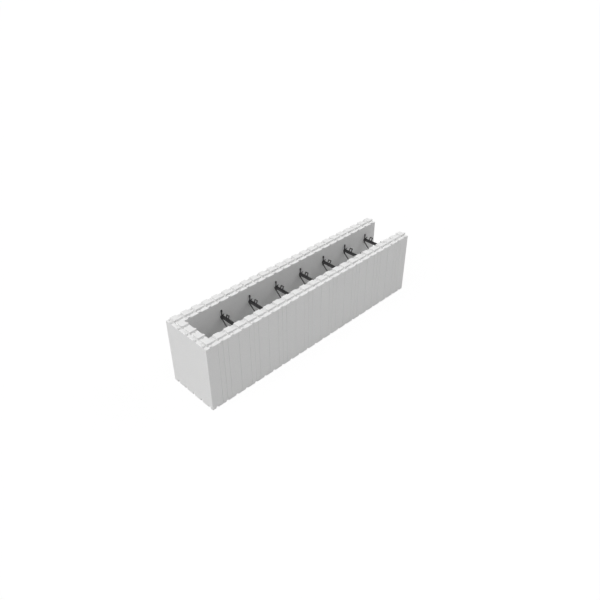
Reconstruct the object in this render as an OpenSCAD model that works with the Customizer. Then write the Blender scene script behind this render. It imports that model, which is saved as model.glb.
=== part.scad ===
// Insulating concrete form, end block: one moulded foam U with interlock lugs,
// and the plastic web ties that hold its two long walls apart.
// Origin at the middle of the underside, +X along the wall towards the open end, +Z up.

/* [Block] */
// Length of the block along the wall
block_l = 1200; // [600:50:1800]
// Thickness of the whole form, outer face to outer face
block_w = 250; // [200:50:400]
// Height of one course, without the lugs
course_h = 300; // [280:10:400]
// Thickness of the foam walls
wall_t = 50; // [44:1:60]

/* [Interlock lugs] */
// Pitch of the lugs, along the walls and across the closed end
lug_pitch = 50; // [50:1:60]
// Height of the lugs above the ledge
lug_h = 9; // [5:0.5:12]
// Length of a lug's main block
lug_l = 26.5; // [24:0.5:30]
// Distance from the start of a cell to its lug
lug_lead = 16.5; // [14:0.5:18]
// Width of the ledge in front of the lugs
ledge_w = 16; // [14:0.5:20]
// Distance from a lug's back to the wall's back face
lug_setback = 4.5; // [2:0.5:6]
// Width of the rail and of the tab that stand out from a lug
tab_w = 10; // [6:1:12]
// Length of the rail that runs on from a lug's front
rail_l = 14; // [10:0.5:16]
// Distance from the end wall's rails to its inner face
rail_setback = 2.5; // [0:0.5:4]
// Distance from a lug's start to the tab at its back
tab_in = 1.5; // [1:0.5:8]
// Reach of the tab over the next ledge
tooth_l = 10; // [6:1:11]
// Height of the tab above the ledge
tooth_h = 5; // [4:0.5:8]
// Length of the pocket in front of a lug
pocket_l = 24; // [18:1:28]
// Distance by which the front pocket starts before its lug
pocket_out = 2.5; // [1:0.5:4]
// Depth of the pockets below the ledge
pocket_d = 3; // [2:0.5:8]
// Play around a lug in its socket
socket_play = 0.5; // [0.2:0.1:1]

/* [Guide grooves] */
// Width of a guide groove in the outer faces
groove_w = 3; // [2:0.5:5]
// Depth of a guide groove
groove_d = 1.2; // [0.5:0.1:3]

/* [Web ties] */
// Thickness of a tie's ribs, prongs and diagonals
tie_t = 4; // [2:0.5:6]
// Width of the upper and lower bars
bar_w = 16; // [10:1:24]
// Thickness of the bars
bar_t = 4; // [3:0.5:8]
// Height from the lower face of the lower bar to the upper face of the upper bar
bar_span = 164; // [140:2:180]
// Height of the rib on each bar
rib_h = 7; // [5:1:14]
// Width of the crossed diagonals
strut_w = 4; // [2:0.5:8]
// Distance from the bars to the ends of the diagonals
strut_drop = 11; // [6:1:16]
// Width of the hidden end flanges
flange_w = 46; // [30:1:60]
// Height of the hidden end flanges
flange_h = 210; // [190:2:240]
// Thickness of the hidden end flanges
flange_t = 4; // [3:0.5:6]
// Foam left over the flanges
flange_cover = 18; // [14:1:24]

/* [Rebar seats] */
// Clear distance between the feet of a seat's two prongs
seat_d = 18; // [14:0.5:24]
// Distance from the foam to the middle of a seat's foot
seat_in = 19.5; // [16:0.5:22]
// Lean of the looped prong towards the middle of the core, in degrees
loop_lean = 18; // [0:1:25]
// Height of the looped prong above the rib
loop_h = 19; // [12:1:24]
// Width of the looped prong
loop_w = 17; // [14:0.5:20]
// Width of the looped prong's legs
loop_leg = 4; // [2:0.5:5]
// Lean of the slim prong towards the middle of the core, in degrees
slim_lean = 34; // [0:1:40]
// Height of the slim prong above the rib
slim_h = 11; // [6:0.5:16]
// Thickness of the slim prong
slim_t = 4; // [2:0.5:5]
// Height of the post on the foam above the rib
post_h = 23; // [20:1:30]
// Width of the post
post_w = 3; // [1.5:0.5:3.5]
// Height of the post's head
head_h = 12; // [8:1:16]
// Width of the post's head
head_w = 6.5; // [4:0.5:8]
// Thickness of the post and of the pad that lies on the foam
pad_t = 4; // [1:0.5:6]
// Length of the pad and the fillet below each end of a bar
root_l = 16; // [13:1:20]
// Reach of the fillet along a bar
root_w = 5; // [3:1:14]

/* [Hidden] */
NODES = [
    "foam_form", "web_tie_1", "web_tie_2", "web_tie_3",
    "web_tie_4", "web_tie_5", "web_tie_6", "web_tie_7"
];
$fn = 48;
// Overrun of every cut past the face it opens
overrun = 1;
foam_colour = [0.93, 0.93, 0.91];
tie_colour = [0.16, 0.16, 0.17];
core_w = block_w - 2 * wall_t;
lug_d = wall_t - ledge_w - lug_setback;
lug_back = ledge_w + lug_d;
pocket_w = ledge_w - tooth_l;
tab_x = lug_lead + tab_in;
// Length of a rail past its own cell
rail_past = lug_lead + lug_l + rail_l - lug_pitch;
tie_count = len(NODES) - 1;
tie_lines = tie_count + 1;
tie_pitch = block_l / tie_lines;
bar_z = bar_span / 2 - bar_t;
rib_z = bar_span / 2 + rib_h;
root_z = bar_z - root_l;
post_z = rib_z + post_h;
head_slope = (head_w - post_w) / 2;
flange_y = block_w / 2 - flange_cover - flange_t;
// Corners of the square cells that tile the U, from the closed end's outer corner
wall_cells = [
    for (row_y = [0, block_w - wall_t])
        for (i = [0 : floor(block_l / lug_pitch) - 1])
            [i * lug_pitch, row_y]
];
end_cells = [
    for (j = [0 : floor(core_w / lug_pitch) - 1])
        [0, wall_t + j * lug_pitch]
];
cells = concat(wall_cells, end_cells);
function in_end_wall(cell) = cell.y >= wall_t && cell.y < block_w - wall_t;
function has_front_tooth(cell) = cell.y == 0 || (cell.x > 0 && !in_end_wall(cell));
function joins_next(cell) = cell.x == 0 && cell.y < block_w - wall_t;
// Rails end short of the end wall's inner face, or at the block's open end
function rail_end(cell) = in_end_wall(cell) ? wall_t - rail_setback : block_l;
function cell_rail(cell) = min(rail_l, rail_end(cell) - cell.x - lug_lead - lug_l);
function cell_tab(cell) = joins_next(cell) ? lug_setback + tooth_l : lug_setback;
function tie_x(line) = (line - 0.5) * tie_pitch - block_l / 2;

// Outline of one lug, its main block and its rail, grown by play
function lug_outline(rail, play) = [
    [-play, -play],
    [lug_l + rail + play, -play],
    [lug_l + rail + play, tab_w + play],
    [lug_l + play, tab_w + play],
    [lug_l + play, lug_d + play],
    [-play, lug_d + play]
];

module lug(cell, play, sink) {
    translate([cell.x + lug_lead, cell.y + ledge_w, -sink])
        linear_extrude(lug_h + play + sink) polygon(lug_outline(cell_rail(cell), play));
}

// A tab, or the end of a rail or tab that the wall's face cuts off
module tab(x, y, size, play, sink) {
    translate([x - play, y - play, -sink])
        cube([size.x + 2 * play, size.y + 2 * play, size.z + play + sink]);
}

// Every lug, rail and tab of one face, reaching down by sink
module interlock(play, sink) {
    for (cell = cells) {
        lug(cell, play, sink);
        tab(cell.x + tab_x, cell.y + lug_back, [tab_w, cell_tab(cell), tooth_h], play, sink);
        if (has_front_tooth(cell))
            tab(cell.x + tab_x, cell.y, [tab_w, tooth_l, tooth_h], play, sink);
        if (cell.x == 0 && rail_past > 0)
            tab(0, cell.y + ledge_w, [rail_past, tab_w, lug_h], play, sink);
    }
}

// The pockets beside each lug, one along its front and one along its side behind the rail's end
module pockets() {
    for (cell = cells) {
        translate([cell.x + lug_lead - pocket_out, cell.y + tooth_l, -pocket_d])
            cube([pocket_l, pocket_w, pocket_d + overrun]);
        translate([cell.x + lug_lead - pocket_w, cell.y + ledge_w + tab_w, -pocket_d])
            cube([pocket_w, lug_d - tab_w, pocket_d + overrun]);
    }
}

// The U of the walls, open at the far end
module walls() {
    difference() {
        translate([-block_l / 2, -block_w / 2, 0]) cube([block_l, block_w, course_h]);
        translate([wall_t - block_l / 2, -core_w / 2, -overrun])
            cube([block_l - wall_t + overrun, core_w, course_h + 2 * overrun]);
    }
}

// One guide groove down both outer faces
module groove_pair(x) {
    for (side = [-1, 1])
        translate([x - groove_w / 2, side * block_w / 2 - groove_d, -overrun])
            cube([groove_w, 2 * groove_d, course_h + overrun]);
}

module guide_grooves() {
    for (line = [1 : tie_lines]) {
        for (offset_x = [-flange_w / 2, 0, flange_w / 2])
            groove_pair(tie_x(line) + offset_x);
        if (line < tie_lines)
            groove_pair(tie_x(line) + tie_pitch / 2);
    }
}

// Copies of a shape in all four corners of a tie
module four_corners() {
    for (side = [0, 1])
        mirror([0, side, 0])
            for (level = [0, 1])
                mirror([0, 0, level]) children();
}

// A flat shape in the plane of a tie, drawn with its width along Y and its height along Z
module in_tie_plane() {
    rotate([90, 0, 90]) linear_extrude(tie_t, center = true) children();
}

// The part of a tie that the foam is moulded round: flanges and the necks that lead to them
module tie_anchor() {
    for (side = [-1, 1]) {
        translate([-flange_w / 2, side * (flange_y + flange_t / 2) - flange_t / 2, -flange_h / 2])
            cube([flange_w, flange_t, flange_h]);
        for (level = [-1, 1])
            translate([-tie_t / 2, side > 0 ? core_w / 2 : -flange_y, level > 0 ? root_z : -rib_z])
                cube([tie_t, flange_y - core_w / 2, rib_z - root_z]);
    }
}

// A bar in the plane of a tie that leans from the rib's upper edge, with its root down through the rib
module leaning(foot, width, height, angle) {
    polygon([
        [foot, bar_z],
        [foot + width, bar_z],
        [foot + width, rib_z],
        [foot + width - height * tan(angle), rib_z + height],
        [foot - height * tan(angle), rib_z + height],
        [foot, rib_z]
    ]);
}

// Upper right corner of a tie: rebar seat between two prongs, fillet below the bar,
// pad and post on the foam
module tie_corner() {
    face = core_w / 2;
    loop_foot = face - seat_in - seat_d / 2 - loop_w;
    // Right half of the pad and post on the foam, from the pad's lower end to the tip of the post's head
    pad_side = [
        [post_w / 2, root_z],
        [bar_w / 2, bar_z],
        [bar_w / 2, bar_z + bar_t],
        [post_w / 2, rib_z],
        [post_w / 2, post_z - head_h],
        [head_w / 2, post_z - head_h + head_slope],
        [head_w / 2, post_z - head_slope],
        [post_w / 2, post_z]
    ];
    in_tie_plane() {
        difference() {
            leaning(loop_foot, loop_w, loop_h, loop_lean);
            leaning(loop_foot + loop_leg, loop_w - 2 * loop_leg, loop_h - loop_leg, loop_lean);
        }
        leaning(face - seat_in + seat_d / 2, slim_t, slim_h, slim_lean);
        polygon([[face, rib_z], [face - root_w, rib_z], [face - root_w, bar_z], [face, root_z]]);
    }
    translate([0, face, 0]) rotate([90, 0, 0]) linear_extrude(pad_t)
        for (side = [0, 1])
            mirror([side, 0]) polygon(concat(pad_side, [[0, post_z], [0, root_z]]));
}

// One diagonal across the core, from wall to wall
module diagonal() {
    run = core_w / 2;
    rise = bar_z - strut_drop;
    slope = atan2(rise, run);
    intersection() {
        rotate([slope, 0, 0])
            translate([-tie_t / 2, -run - rise, -strut_w / 2])
                cube([tie_t, 2 * (run + rise), strut_w]);
        translate([-tie_t / 2, -run, -bar_z]) cube([tie_t, 2 * run, 2 * bar_z]);
    }
}

// One web tie about its own middle
module web_tie() {
    tie_anchor();
    four_corners() tie_corner();
    for (level = [0, 1])
        mirror([0, 0, level]) {
            translate([-bar_w / 2, -core_w / 2, bar_z]) cube([bar_w, core_w, bar_t]);
            translate([-tie_t / 2, -core_w / 2, bar_z]) cube([tie_t, core_w, rib_z - bar_z]);
        }
    for (side = [0, 1])
        mirror([0, side, 0]) diagonal();
}

module place_tie(number) {
    translate([tie_x(number + 1), 0, course_h / 2]) children();
}

module foam_form() {
    color(foam_colour)
        difference() {
            union() {
                difference() {
                    walls();
                    translate([-block_l / 2, -block_w / 2, course_h]) pockets();
                }
                translate([-block_l / 2, -block_w / 2, course_h]) interlock(0, 0);
            }
            translate([-block_l / 2, -block_w / 2, 0]) interlock(socket_play, overrun);
            guide_grooves();
            for (number = [1 : tie_count])
                place_tie(number) tie_anchor();
        }
}

module numbered_tie(number) {
    color(tie_colour) place_tie(number) web_tie();
}

foam_form();
numbered_tie(1);  // web_tie_1
numbered_tie(2);  // web_tie_2
numbered_tie(3);  // web_tie_3
numbered_tie(4);  // web_tie_4
numbered_tie(5);  // web_tie_5
numbered_tie(6);  // web_tie_6
numbered_tie(7);  // web_tie_7
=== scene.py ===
"""Insulating concrete form, end block: a moulded foam U with interlock lugs and dark web ties.

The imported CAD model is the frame. The foam and the ties are shown as copies of their solids with
the rounded edges of a moulding, in finishes worked out from nodes: fused foam beads and satin
plastic.
"""

import math

import bmesh
import bpy
import numpy as np
from bpy.props import FloatProperty, FloatVectorProperty, PointerProperty
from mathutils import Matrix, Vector


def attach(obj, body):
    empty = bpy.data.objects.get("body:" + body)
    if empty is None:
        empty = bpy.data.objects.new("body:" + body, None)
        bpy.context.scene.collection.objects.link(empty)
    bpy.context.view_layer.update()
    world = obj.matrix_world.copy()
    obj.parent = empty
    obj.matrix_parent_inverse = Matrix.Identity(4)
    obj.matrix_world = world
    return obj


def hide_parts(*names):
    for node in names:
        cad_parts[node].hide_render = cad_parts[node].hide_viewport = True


bl_info = {
    "name": "Insulating Concrete Form",
    "version": (1, 0, 0),
    "blender": (4, 5, 0),
    "location": "View3D > Sidebar > Formwork",
    "description": "Dresses the foam form, its web ties and the studio stage",
    "category": "Object",
}

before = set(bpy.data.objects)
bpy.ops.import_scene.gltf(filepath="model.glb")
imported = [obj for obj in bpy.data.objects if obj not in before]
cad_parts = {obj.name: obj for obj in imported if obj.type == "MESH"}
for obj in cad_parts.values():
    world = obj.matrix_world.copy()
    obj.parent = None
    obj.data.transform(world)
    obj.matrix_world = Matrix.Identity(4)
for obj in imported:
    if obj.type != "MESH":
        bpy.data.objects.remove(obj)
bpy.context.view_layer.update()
BODY = "root"
FOAM_NODE = "foam_form"
TIE_NODES = sorted(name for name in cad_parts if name.startswith("web_tie"))

# Vertices closer than this are one vertex of a solid
WELD = 1e-6
# Faces that turn by less than this lie in one plane
FLAT = math.radians(0.5)
# Edges that turn by more than this get a moulded radius
SHARP = math.radians(20)
# Most of a short edge that the radius at one of its ends may take
ROOM_SHARE = 0.4
# Share of the radius that has to find room for an edge to be rounded at all
LEAST_SHARE = 0.5
# Steps across a rounded edge
ROUND_STEPS = 2

# Foam: tones of the darkest bead and of the widest drift, as shares of the bead colour
DARK_BEAD = 0.975
DARK_DRIFT = 0.965
# Waves of the drift to a metre, its finer layers, the values between which it grows, and its
# greatest share
DRIFT_SCALE = 9.0
DRIFT_LAYERS = 3.0
DRIFT_RANGE = (0.35, 0.65)
DRIFT_SHARE = 0.35
# Distances from a bead's border, in beads, at which its seam, its rim and its dull edge end
SEAM_END = 0.07
RIM_END = 0.05
DULL_END = 0.1
# Squared distance from a bead's point, in beads, at which its crown ends
CROWN_END = 0.5
# Parts of the bead relief that the crown and the rim give
CROWN_PART = 0.75
RIM_PART = 0.25
# Roughness in the seams and on the beads, and the weak gloss of both
SEAM_ROUGHNESS = 0.92
BEAD_ROUGHNESS = 0.74
FOAM_GLOSS = 0.22

# Tie plastic: stretch of the flow marks along the bars, their waves to a metre, their finer layers
# and how strong each of those is beside the one before
FLOW_STRETCH = (1.0, 0.25, 1.0)
FLOW_SCALE = 120.0
FLOW_LAYERS = 5.0
FLOW_FADE = 0.6
# Values of the flow between which its colour and its roughness change, and that roughness
FLOW_COLOUR_RANGE = (0.46, 0.74)
FLOW_GLOSS_RANGE = (0.3, 0.7)
FLOW_ROUGHNESS = (0.40, 0.54)
PLASTIC_GLOSS = 0.45
# Finer layers of the mould's grain
GRAIN_LAYERS = 2.0

# Floor: faces along one side, and the light that an open floor gets, as a share of white
FLOOR_STEPS = 4
OPEN_FLOOR = 0.9
# Width of the camera's sensor in millimetres
SENSOR = 36.0
WHITE = (1.0, 1.0, 1.0)


class FoamSettings(bpy.types.PropertyGroup):
    """Sizes and colours of the foam."""

    edge_radius: FloatProperty(
        name="Edge radius", description="Rounding of the moulded edges",
        default=0.0006, min=0.0, unit="LENGTH", subtype="DISTANCE")
    bead_size: FloatProperty(
        name="Bead size", description="Width of one fused foam bead",
        default=0.0042, min=0.001, unit="LENGTH", subtype="DISTANCE")
    bead_relief: FloatProperty(
        name="Bead relief", description="Height of a bead's crown over its seams",
        default=0.0002, min=0.0, unit="LENGTH", subtype="DISTANCE")
    colour: FloatVectorProperty(
        name="Bead colour", description="Colour of the beads", subtype="COLOR", size=3,
        default=(0.862, 0.862, 0.860), min=0.0, max=1.0)
    seam_colour: FloatVectorProperty(
        name="Seam colour", description="Colour of the fine seams between beads", subtype="COLOR",
        size=3, default=(0.79, 0.79, 0.787), min=0.0, max=1.0)


class TieSettings(bpy.types.PropertyGroup):
    """Sizes and colours of the web ties."""

    core_width: FloatProperty(
        name="Core width", description="Width between the foam walls, where the ties lie free",
        default=0.15, min=0.0, unit="LENGTH", subtype="DISTANCE")
    edge_radius: FloatProperty(
        name="Edge radius", description="Rounding of the moulded edges",
        default=0.0004, min=0.0, unit="LENGTH", subtype="DISTANCE")
    grain_size: FloatProperty(
        name="Grain size", description="Width of the mould's fine grain",
        default=0.0011, min=0.0001, unit="LENGTH", subtype="DISTANCE")
    grain_relief: FloatProperty(
        name="Grain relief", description="Height of the mould's fine grain",
        default=0.00006, min=0.0, unit="LENGTH", subtype="DISTANCE")
    colour: FloatVectorProperty(
        name="Plastic colour", description="Colour of the plastic", subtype="COLOR", size=3,
        default=(0.042, 0.042, 0.043), min=0.0, max=1.0)
    flow_colour: FloatVectorProperty(
        name="Flow colour", description="Colour of the paler flow marks of the recycled plastic",
        subtype="COLOR", size=3, default=(0.066, 0.066, 0.067), min=0.0, max=1.0)


class StageSettings(bpy.types.PropertyGroup):
    """Camera, light and floor."""

    camera_place: FloatVectorProperty(
        name="Camera", description="Place of the camera", size=3, subtype="TRANSLATION",
        unit="LENGTH", default=(-1.4941, -1.4933, 1.6406))
    camera_target: FloatVectorProperty(
        name="Target", description="Point that the camera looks at", size=3, subtype="TRANSLATION",
        unit="LENGTH", default=(0.01116, 0.01195, 0.150))
    lens: FloatProperty(
        name="Lens", description="Focal length in millimetres",
        default=35.0, min=1.0, unit="CAMERA")
    sky_level: FloatProperty(
        name="Sky level", description="Strength of the even studio light", default=0.38, min=0.0)
    lamp_level: FloatProperty(
        name="Lamp level", description="Strength of the large soft lamp overhead",
        default=0.98, min=0.0)
    lamp_spread: FloatProperty(
        name="Lamp spread", description="Angle that the overhead lamp fills",
        default=math.radians(50), min=0.0, subtype="ANGLE")
    lamp_from: FloatVectorProperty(
        name="Lamp direction", description="Direction from the block to the overhead lamp",
        size=3, subtype="DIRECTION", default=(-0.10, 0.0, 0.995))
    side_level: FloatProperty(
        name="Side lamp level", description="Strength of the lamp beyond the closed end",
        default=1.00, min=0.0)
    side_spread: FloatProperty(
        name="Side lamp spread", description="Angle that the side lamp fills",
        default=math.radians(40), min=0.0, subtype="ANGLE")
    side_from: FloatVectorProperty(
        name="Side lamp direction", description="Direction from the block to the side lamp",
        size=3, subtype="DIRECTION", default=(-0.82, 0.0, 0.57))
    front_level: FloatProperty(
        name="Front lamp level",
        description="Strength of the small lamp in front, on the open end's side",
        default=0.44, min=0.0)
    front_spread: FloatProperty(
        name="Front lamp spread", description="Angle that the front lamp fills",
        default=math.radians(28), min=0.0, subtype="ANGLE")
    front_from: FloatVectorProperty(
        name="Front lamp direction", description="Direction from the block to the front lamp",
        size=3, subtype="DIRECTION", default=(0.70, -0.33, 0.635))
    floor_span: FloatProperty(
        name="Floor span", description="Width of the floor", default=40.0, min=1.0, unit="LENGTH")
    floor_shade: FloatProperty(
        name="Floor shade", description="Grey of the floor as the block's faces see it",
        default=0.57, min=0.0, max=1.0, subtype="FACTOR")
    shadow_depth: FloatProperty(
        name="Shadow depth", description="How much of the white floor the block's shadow can take",
        default=0.08, min=0.0, max=1.0, subtype="FACTOR")


class NodeBoard:
    """A material's or world's node tree, emptied, with short calls to add and join nodes."""

    def __init__(self, owner):
        owner.use_nodes = True
        self.tree = owner.node_tree
        self.tree.nodes.clear()

    def add(self, kind, inputs=None, **settings):
        """Adds a node; each input is a value for its socket or an output to join to it."""
        node = self.tree.nodes.new(kind)
        for name, value in settings.items():
            setattr(node, name, value)
        for name, value in (inputs or {}).items():
            self.feed(node.inputs[name], value)
        return node

    def feed(self, socket, value):
        """Joins an output to a socket, or sets the socket to a value."""
        if isinstance(value, bpy.types.NodeSocket):
            self.tree.links.new(value, socket)
        else:
            socket.default_value = value

    def blend(self, share, low, high):
        """Colour that runs from low to high as share goes from 0 to 1. A colour mix has its share in
        socket 0 and its two colours in sockets 6 and 7."""
        node = self.add("ShaderNodeMix", {0: share, 6: low, 7: high}, data_type="RGBA")
        return node.outputs[2]

    def ramp(self, value, start, end, low=0.0, high=1.0):
        """Number that runs evenly from low to high as value goes from start to end."""
        node = self.add("ShaderNodeMapRange", {
            "Value": value, "From Min": start, "From Max": end, "To Min": low, "To Max": high})
        return node.outputs["Result"]

    def reckon(self, operation, first, second):
        """Result of a sum, power or other operation on two numbers."""
        return self.add("ShaderNodeMath", {0: first, 1: second}, operation=operation).outputs[0]


def opaque(colour, tone=1.0):
    """A colour, darkened to the given tone, with full alpha."""
    return (*(tone * channel for channel in colour), 1.0)


def foam_finish(settings):
    """Fused beads: space is split into cells one bead wide round random points. The squared distance
    to a cell's point gives the round crown of the bead, the distance to the cell's border gives the
    seam, and the cell's random colour gives the bead's own tone."""
    material = bpy.data.materials.new("bead_foam")
    board = NodeBoard(material)
    place = board.add("ShaderNodeTexCoord").outputs["Object"]
    cells = {"Vector": place, "Scale": 1.0 / settings.bead_size}
    cell = board.add("ShaderNodeTexVoronoi", cells)
    border = board.add(
        "ShaderNodeTexVoronoi", cells, feature="DISTANCE_TO_EDGE").outputs["Distance"]
    drift = board.add("ShaderNodeTexNoise", {
        "Vector": place, "Scale": DRIFT_SCALE, "Detail": DRIFT_LAYERS}).outputs["Fac"]
    tone = board.add("ShaderNodeSeparateColor", {"Color": cell.outputs["Color"]}).outputs["Red"]
    bead = board.blend(tone, opaque(settings.colour, DARK_BEAD), opaque(settings.colour))
    drifted = board.blend(
        board.ramp(drift, *DRIFT_RANGE, high=DRIFT_SHARE), bead,
        opaque(settings.colour, DARK_DRIFT))
    seam = board.ramp(border, 0.0, SEAM_END)
    squared = board.reckon("POWER", cell.outputs["Distance"], 2.0)
    crown = board.ramp(squared, 0.0, CROWN_END, CROWN_PART, 0.0)
    rim = board.ramp(border, 0.0, RIM_END, high=RIM_PART)
    relief = board.add("ShaderNodeBump", {
        "Strength": 1.0, "Distance": settings.bead_relief,
        "Height": board.reckon("ADD", crown, rim)})
    surface = board.add("ShaderNodeBsdfPrincipled", {
        "Base Color": board.blend(seam, opaque(settings.seam_colour), drifted),
        "Roughness": board.ramp(border, 0.0, DULL_END, SEAM_ROUGHNESS, BEAD_ROUGHNESS),
        "Specular IOR Level": FOAM_GLOSS,
        "Normal": relief.outputs["Normal"]})
    board.add("ShaderNodeOutputMaterial", {"Surface": surface.outputs["BSDF"]})
    return material


def tie_finish(settings):
    """Satin recycled plastic: stretched noise gives pale flow marks along the bars and the change of
    gloss, fine noise gives the mould's grain."""
    material = bpy.data.materials.new("tie_plastic")
    board = NodeBoard(material)
    place = board.add("ShaderNodeTexCoord").outputs["Object"]
    stretched = board.add("ShaderNodeMapping", {
        "Vector": place, "Scale": FLOW_STRETCH}).outputs["Vector"]
    flow = board.add("ShaderNodeTexNoise", {
        "Vector": stretched, "Scale": FLOW_SCALE,
        "Detail": FLOW_LAYERS, "Roughness": FLOW_FADE}).outputs["Fac"]
    grain = board.add("ShaderNodeTexNoise", {
        "Vector": place, "Scale": 1.0 / settings.grain_size,
        "Detail": GRAIN_LAYERS}).outputs["Fac"]
    relief = board.add("ShaderNodeBump", {
        "Strength": 1.0, "Distance": settings.grain_relief, "Height": grain})
    surface = board.add("ShaderNodeBsdfPrincipled", {
        "Base Color": board.blend(
            board.ramp(flow, *FLOW_COLOUR_RANGE),
            opaque(settings.colour), opaque(settings.flow_colour)),
        "Roughness": board.ramp(flow, *FLOW_GLOSS_RANGE, *FLOW_ROUGHNESS),
        "Specular IOR Level": PLASTIC_GLOSS,
        "Normal": relief.outputs["Normal"]})
    board.add("ShaderNodeOutputMaterial", {"Surface": surface.outputs["BSDF"]})
    return material


def add_to_scene(name, data):
    """An object at the origin that shows the data, linked to the scene."""
    thing = bpy.data.objects.new(name, data)
    bpy.context.scene.collection.objects.link(thing)
    return thing


def welded_mesh(node, name):
    """Copy of a solid's triangles as one closed skin, with the triangles of each plane joined up."""
    mesh = node.data.copy()
    mesh.name = name
    mesh.materials.clear()
    skin = bmesh.new()
    skin.from_mesh(mesh)
    bmesh.ops.remove_doubles(skin, verts=skin.verts, dist=WELD)
    bmesh.ops.dissolve_limit(skin, angle_limit=FLAT, verts=skin.verts, edges=skin.edges)
    skin.to_mesh(mesh)
    skin.free()
    return mesh


def mesh_array(items, name, width, kind=np.float64):
    """One property of all of a mesh's items as an array, width numbers to a row."""
    values = np.empty(width * len(items), dtype=kind)
    items.foreach_get(name, values)
    return values.reshape(-1, width) if width > 1 else values


def edge_turns(mesh):
    """Angle by which the skin turns at each edge, positive where it turns outward. It comes from the
    dot and cross products of the two faces' normals, the cross product taken along the edge as the
    first face runs round it. The two faces are the owners of the edge's corners, found by sorting
    all corners by edge."""
    corner_edges = mesh_array(mesh.loops, "edge_index", 1, np.int64)
    corner_points = mesh_array(mesh.loops, "vertex_index", 1, np.int64)
    sizes = mesh_array(mesh.polygons, "loop_total", 1, np.int64)
    normals = mesh_array(mesh.polygons, "normal", 3)
    points = mesh_array(mesh.vertices, "co", 3)
    ends = mesh_array(mesh.edges, "vertices", 2, np.int64)
    owners = np.repeat(np.arange(len(sizes)), sizes)
    order = np.argsort(corner_edges, kind="stable")
    first = np.searchsorted(corner_edges[order], np.arange(len(ends)))
    here, there = normals[owners[order[first]]], normals[owners[order[first + 1]]]
    forward = corner_points[order[first]] == ends[:, 0]
    along = (points[ends[:, 1]] - points[ends[:, 0]]) * np.where(forward, 1.0, -1.0)[:, None]
    along /= np.linalg.norm(along, axis=1)[:, None]
    return np.arctan2((np.cross(here, there) * along).sum(axis=1), (here * there).sum(axis=1))


def edge_room(mesh):
    """Length of the shortest edge that meets either end of each edge. The shortest edge at a vertex
    is a running minimum over all edge ends."""
    points = mesh_array(mesh.vertices, "co", 3)
    ends = mesh_array(mesh.edges, "vertices", 2, np.int64)
    lengths = np.linalg.norm(points[ends[:, 1]] - points[ends[:, 0]], axis=1)
    shortest = np.full(len(points), np.inf)
    np.minimum.at(shortest, ends.ravel(), np.repeat(lengths, 2))
    return shortest[ends].min(axis=1)


def edge_reach(mesh):
    """Greatest distance of each edge from the block's middle plane, which is y = 0."""
    points = mesh_array(mesh.vertices, "co", 3)
    return np.abs(points[mesh_array(mesh.edges, "vertices", 2, np.int64), 1]).max(axis=1)


def moulded(node_name, radius, chosen, finish):
    """The piece that stands for a CAD node: its welded copy with the chosen edges rounded. The
    rounding has the given radius, or less beside short edges, and is left out where too little of it
    has room."""
    mesh = welded_mesh(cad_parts[node_name], node_name + "_moulded")
    shares = np.minimum(1.0, ROOM_SHARE * edge_room(mesh) / radius)
    weights = np.where(chosen(mesh) & (shares > LEAST_SHARE), shares, 0.0)
    mesh.attributes.new("bevel_weight_edge", "FLOAT", "EDGE").data.foreach_set(
        "value", weights.astype(np.float32))
    mesh.materials.append(finish)
    piece = add_to_scene(node_name + "_moulded", mesh)
    rounding = piece.modifiers.new("Moulded edges", "BEVEL")
    rounding.limit_method = "WEIGHT"
    rounding.width = radius
    rounding.segments = ROUND_STEPS
    rounding.use_clamp_overlap = False
    rounding.loop_slide = False
    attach(piece, BODY)
    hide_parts(node_name)


def sharp_edges(mesh):
    """Edges where the skin turns outward or inward."""
    return np.abs(edge_turns(mesh)) > SHARP


class FORMWORK_OT_foam(bpy.types.Operator):
    """Dresses the foam form in fused beads, with moulded edges"""

    bl_idname = "formwork.foam"
    bl_label = "Foam Form"

    def execute(self, context):
        settings = context.scene.formwork_foam
        moulded(FOAM_NODE, settings.edge_radius, sharp_edges, foam_finish(settings))
        return {"FINISHED"}


class FORMWORK_OT_ties(bpy.types.Operator):
    """Dresses the web ties in satin plastic, with moulded edges"""

    bl_idname = "formwork.ties"
    bl_label = "Web Ties"

    def execute(self, context):
        settings = context.scene.formwork_ties
        finish = tie_finish(settings)
        reach = 0.5 * settings.core_width - WELD

        def free_edges(mesh):
            """Outward edges of a tie between the foam walls."""
            return (edge_turns(mesh) > SHARP) & (edge_reach(mesh) < reach)

        for name in TIE_NODES:
            moulded(name, settings.edge_radius, free_edges, finish)
        return {"FINISHED"}


def seen_rays(board):
    """1 for rays from the camera, from a reflection or through glass, 0 for light on matt faces."""
    path = board.add("ShaderNodeLightPath").outputs
    shiny = board.reckon("MAXIMUM", path["Is Glossy Ray"], path["Is Transmission Ray"])
    return board.reckon("MAXIMUM", path["Is Camera Ray"], shiny)


def floor_finish(settings):
    """Grey to the block's faces, white to the eye: for what the camera, a reflection or glass sees, a
    glow makes up what the floor's own reflected light leaves short of white."""
    material = bpy.data.materials.new("studio_floor")
    board = NodeBoard(material)
    seen = seen_rays(board)
    grey, pale = settings.floor_shade, settings.shadow_depth
    bounced = board.add("ShaderNodeBsdfDiffuse", {"Color": opaque(WHITE, grey)})
    shaded = board.add("ShaderNodeBsdfDiffuse", {"Color": opaque(WHITE, pale)})
    glow = board.add("ShaderNodeEmission", {"Strength": 1.0 - OPEN_FLOOR * pale})
    white = board.add("ShaderNodeAddShader", {0: shaded.outputs[0], 1: glow.outputs[0]})
    mix = board.add("ShaderNodeMixShader", {0: seen, 1: bounced.outputs[0], 2: white.outputs[0]})
    board.add("ShaderNodeOutputMaterial", {"Surface": mix.outputs[0]})
    return material


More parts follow.
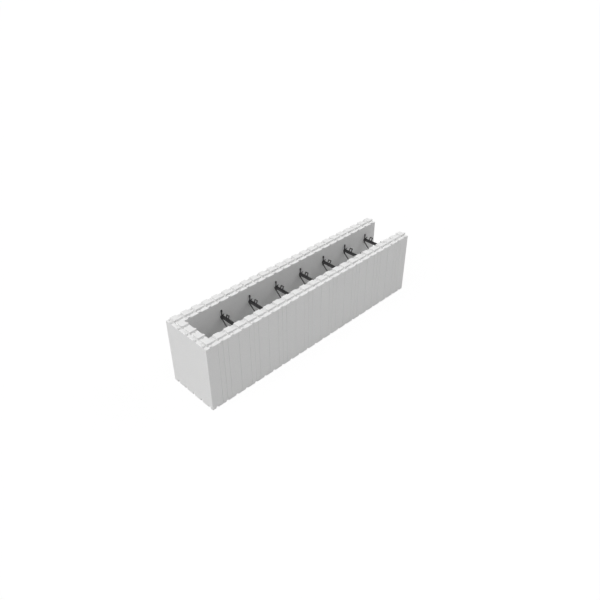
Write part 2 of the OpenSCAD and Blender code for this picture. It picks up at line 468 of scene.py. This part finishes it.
def sky_finish(world, settings):
    """Even light on the block, plain white to the camera, to reflections and through glass."""
    board = NodeBoard(world)
    even = board.add("ShaderNodeBackground", {
        "Strength": settings.sky_level, "Color": opaque(WHITE)})
    white = board.add("ShaderNodeBackground", {"Strength": 1.0, "Color": opaque(WHITE)})
    mix = board.add("ShaderNodeMixShader", {
        0: seen_rays(board), 1: even.outputs[0], 2: white.outputs[0]})
    board.add("ShaderNodeOutputWorld", {"Surface": mix.outputs[0]})


def flat_grid(span, steps):
    """Square of steps by steps faces at z = 0: x and y run evenly from minus to plus half the span."""
    line = np.linspace(-0.5 * span, 0.5 * span, steps + 1)
    x, y = np.meshgrid(line, line)
    points = np.stack([x, y, np.zeros_like(x)], axis=-1).reshape(-1, 3)
    corner = (np.arange(steps)[:, None] * (steps + 1) + np.arange(steps)).ravel()
    faces = np.stack([corner, corner + 1, corner + steps + 2, corner + steps + 1], axis=1)
    mesh = bpy.data.meshes.new("studio_floor")
    mesh.from_pydata(points.tolist(), [], faces.tolist())
    return mesh


def soft_lamp(name, level, spread, direction):
    """A far lamp that fills the spread angle round a direction seen from the block."""
    lamp = bpy.data.lights.new(name, "SUN")
    lamp.energy = level
    lamp.angle = spread
    turn = Vector(direction).to_track_quat("Z", "Y")
    add_to_scene(name, lamp).rotation_euler = turn.to_euler()


class FORMWORK_OT_stage(bpy.types.Operator):
    """Sets up the floor, the soft studio light and the camera"""

    bl_idname = "formwork.stage"
    bl_label = "Studio Stage"

    def execute(self, context):
        settings = context.scene.formwork_stage
        context.scene.view_settings.view_transform = "Standard"
        floor = add_to_scene("studio_floor", flat_grid(settings.floor_span, FLOOR_STEPS))
        floor.data.materials.append(floor_finish(settings))

        world = bpy.data.worlds.new("studio")
        context.scene.world = world
        sky_finish(world, settings)

        for name, level, spread, direction in (
            ("overhead_lamp", settings.lamp_level, settings.lamp_spread, settings.lamp_from),
            ("side_lamp", settings.side_level, settings.side_spread, settings.side_from),
            ("front_lamp", settings.front_level, settings.front_spread, settings.front_from),
        ):
            soft_lamp(name, level, spread, direction)

        view = bpy.data.cameras.new("studio_camera")
        view.sensor_width = SENSOR
        view.lens = settings.lens
        camera = add_to_scene("studio_camera", view)
        place, target = Vector(settings.camera_place), Vector(settings.camera_target)
        camera.location = place
        camera.rotation_euler = (target - place).to_track_quat("-Z", "Y").to_euler()
        context.scene.camera = camera
        return {"FINISHED"}


class FORMWORK_PT_block(bpy.types.Panel):
    """Lists the settings and the steps that dress the block"""

    bl_idname = "FORMWORK_PT_block"
    bl_label = "Insulating Concrete Form"
    bl_space_type = "VIEW_3D"
    bl_region_type = "UI"
    bl_category = "Formwork"

    def draw(self, context):
        for operator, settings in (
            (FORMWORK_OT_foam, context.scene.formwork_foam),
            (FORMWORK_OT_ties, context.scene.formwork_ties),
            (FORMWORK_OT_stage, context.scene.formwork_stage),
        ):
            box = self.layout.box()
            for name in settings.__annotations__:
                box.prop(settings, name)
            box.operator(operator.bl_idname)


CLASSES = (
    FoamSettings, TieSettings, StageSettings,
    FORMWORK_OT_foam, FORMWORK_OT_ties, FORMWORK_OT_stage, FORMWORK_PT_block,
)
SETTINGS = {
    "formwork_foam": FoamSettings,
    "formwork_ties": TieSettings,
    "formwork_stage": StageSettings,
}


def register():
    for cls in CLASSES:
        bpy.utils.register_class(cls)
    for name, group in SETTINGS.items():
        setattr(bpy.types.Scene, name, PointerProperty(type=group))


def unregister():
    for name in SETTINGS:
        delattr(bpy.types.Scene, name)
    for cls in reversed(CLASSES):
        bpy.utils.unregister_class(cls)


def main():
    """Dresses the block."""
    register()
    bpy.ops.formwork.foam()
    bpy.ops.formwork.ties()
    bpy.ops.formwork.stage()


if __name__ == "__main__":
    main()
